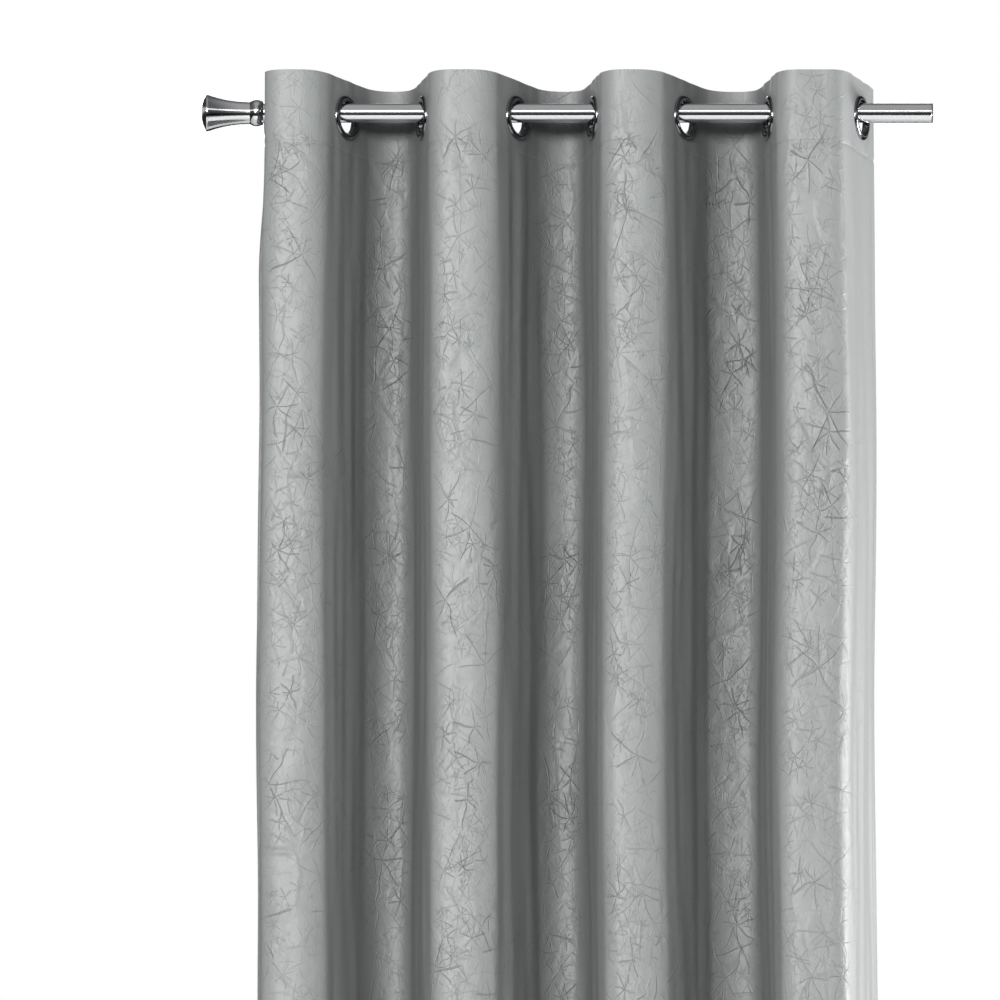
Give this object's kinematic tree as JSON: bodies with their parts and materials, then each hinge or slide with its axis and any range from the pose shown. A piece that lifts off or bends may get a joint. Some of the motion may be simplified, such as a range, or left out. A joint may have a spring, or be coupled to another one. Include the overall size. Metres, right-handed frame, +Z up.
{
  "type": "eyelet curtain panel",
  "caption": "Crinkled cloth curtain panel hung by metal eyelets on a round rod with a trumpet finial; it draws along the rod, swings, and the finial pulls off.",
  "frame": {"origin": "on the rod's axis, at the middle of the bracket seat on its free end", "axes": "+X along the rod towards its free end, +Y away from the room, +Z up; the panel hangs down from the rod"},
  "size_m": [0.9341, 0.127, 2.5],
  "materials": {
    "crushed_satin": "crinkled satin weave",
    "buckram": "stiff open weave",
    "eyelet_chrome": "polished dark chrome",
    "rod_steel": "brushed along the rod",
    "screw_steel": "zinc plated",
    "nylon": "moulded",
    "weight_iron": "as cast"
  },
  "bodies": {
    "rod": {"rod_tube": "rod_steel", "rod_end_plug": "nylon"},
    "finial": {"finial_bell": "rod_steel", "finial_dome": "rod_steel", "finial_collar": "rod_steel", "finial_plug": "nylon", "finial_screw": "screw_steel"},
    "fold_1": {"face_flank_1": "crushed_satin", "face_bends_1": "crushed_satin", "stiffener_1": "buckram", "facing_1": "crushed_satin", "eyelet_front_1": "eyelet_chrome", "eyelet_back_1": "eyelet_chrome", "hem_weight_left": "weight_iron"},
    "fold_2": {"face_flank_2": "crushed_satin", "face_bends_2": "crushed_satin", "stiffener_2": "buckram", "facing_2": "crushed_satin", "eyelet_front_2": "eyelet_chrome", "eyelet_back_2": "eyelet_chrome"},
    "fold_3": {"face_flank_3": "crushed_satin", "face_bends_3": "crushed_satin", "stiffener_3": "buckram", "facing_3": "crushed_satin", "eyelet_front_3": "eyelet_chrome", "eyelet_back_3": "eyelet_chrome"},
    "fold_4": {"face_flank_4": "crushed_satin", "face_bends_4": "crushed_satin", "stiffener_4": "buckram", "facing_4": "crushed_satin", "eyelet_front_4": "eyelet_chrome", "eyelet_back_4": "eyelet_chrome"},
    "fold_5": {"face_flank_5": "crushed_satin", "face_bends_5": "crushed_satin", "stiffener_5": "buckram", "facing_5": "crushed_satin", "eyelet_front_5": "eyelet_chrome", "eyelet_back_5": "eyelet_chrome"},
    "fold_6": {"face_flank_6": "crushed_satin", "face_bends_6": "crushed_satin", "stiffener_6": "buckram", "facing_6": "crushed_satin", "eyelet_front_6": "eyelet_chrome", "eyelet_back_6": "eyelet_chrome"},
    "fold_7": {"face_flank_7": "crushed_satin", "face_bends_7": "crushed_satin", "stiffener_7": "buckram", "facing_7": "crushed_satin", "eyelet_front_7": "eyelet_chrome", "eyelet_back_7": "eyelet_chrome"},
    "fold_8": {"face_flank_8": "crushed_satin", "face_bends_8": "crushed_satin", "stiffener_8": "buckram", "facing_8": "crushed_satin", "eyelet_front_8": "eyelet_chrome", "eyelet_back_8": "eyelet_chrome", "hem_weight_right": "weight_iron"}
  },
  "joints": [
    {"name": "finial_pull", "type": "slide", "parent": "rod", "child": "finial", "axis": [-1, 0, 0], "range_m": [0, 0.05]},
    {"name": "panel_swing", "type": "hinge", "parent": "rod", "child": "fold_1", "pos_m": [-0.8311, 0, 0], "axis": [1, 0, 0], "range_deg": [-8, 8]},
    {"name": "draw", "type": "slide", "parent": "fold_1", "child": "fold_2", "axis": [1, 0, 0], "range_m": [-0.032, 0.005], "deforming": ["face_flank_2", "face_bends_2", "stiffener_2", "facing_2", "face_flank_1", "face_bends_1", "stiffener_1", "facing_1"]},
    {"name": "draw_3", "type": "slide", "parent": "fold_2", "child": "fold_3", "axis": [1, 0, 0], "range_m": [-0.032, 0.005], "deforming": ["face_flank_3", "face_bends_3", "stiffener_3", "facing_3"]},
    {"name": "draw_4", "type": "slide", "parent": "fold_3", "child": "fold_4", "axis": [1, 0, 0], "range_m": [-0.032, 0.005], "deforming": ["face_flank_4", "face_bends_4", "stiffener_4", "facing_4"]},
    {"name": "draw_5", "type": "slide", "parent": "fold_4", "child": "fold_5", "axis": [1, 0, 0], "range_m": [-0.032, 0.005], "deforming": ["face_flank_5", "face_bends_5", "stiffener_5", "facing_5"]},
    {"name": "draw_6", "type": "slide", "parent": "fold_5", "child": "fold_6", "axis": [1, 0, 0], "range_m": [-0.032, 0.005], "deforming": ["face_flank_6", "face_bends_6", "stiffener_6", "facing_6"]},
    {"name": "draw_7", "type": "slide", "parent": "fold_6", "child": "fold_7", "axis": [1, 0, 0], "range_m": [-0.032, 0.005], "deforming": ["face_flank_7", "face_bends_7", "stiffener_7", "facing_7"]},
    {"name": "draw_8", "type": "slide", "parent": "fold_7", "child": "fold_8", "axis": [1, 0, 0], "range_m": [-0.032, 0.005], "deforming": ["face_flank_8", "face_bends_8", "stiffener_8", "facing_8"]}
  ],
  "couplings": [
    {"joint": "draw_3", "follows": "draw", "ratio": 1},
    {"joint": "draw_4", "follows": "draw", "ratio": 1},
    {"joint": "draw_5", "follows": "draw", "ratio": 1},
    {"joint": "draw_6", "follows": "draw", "ratio": 1},
    {"joint": "draw_7", "follows": "draw", "ratio": 1},
    {"joint": "draw_8", "follows": "draw", "ratio": 1}
  ]
}
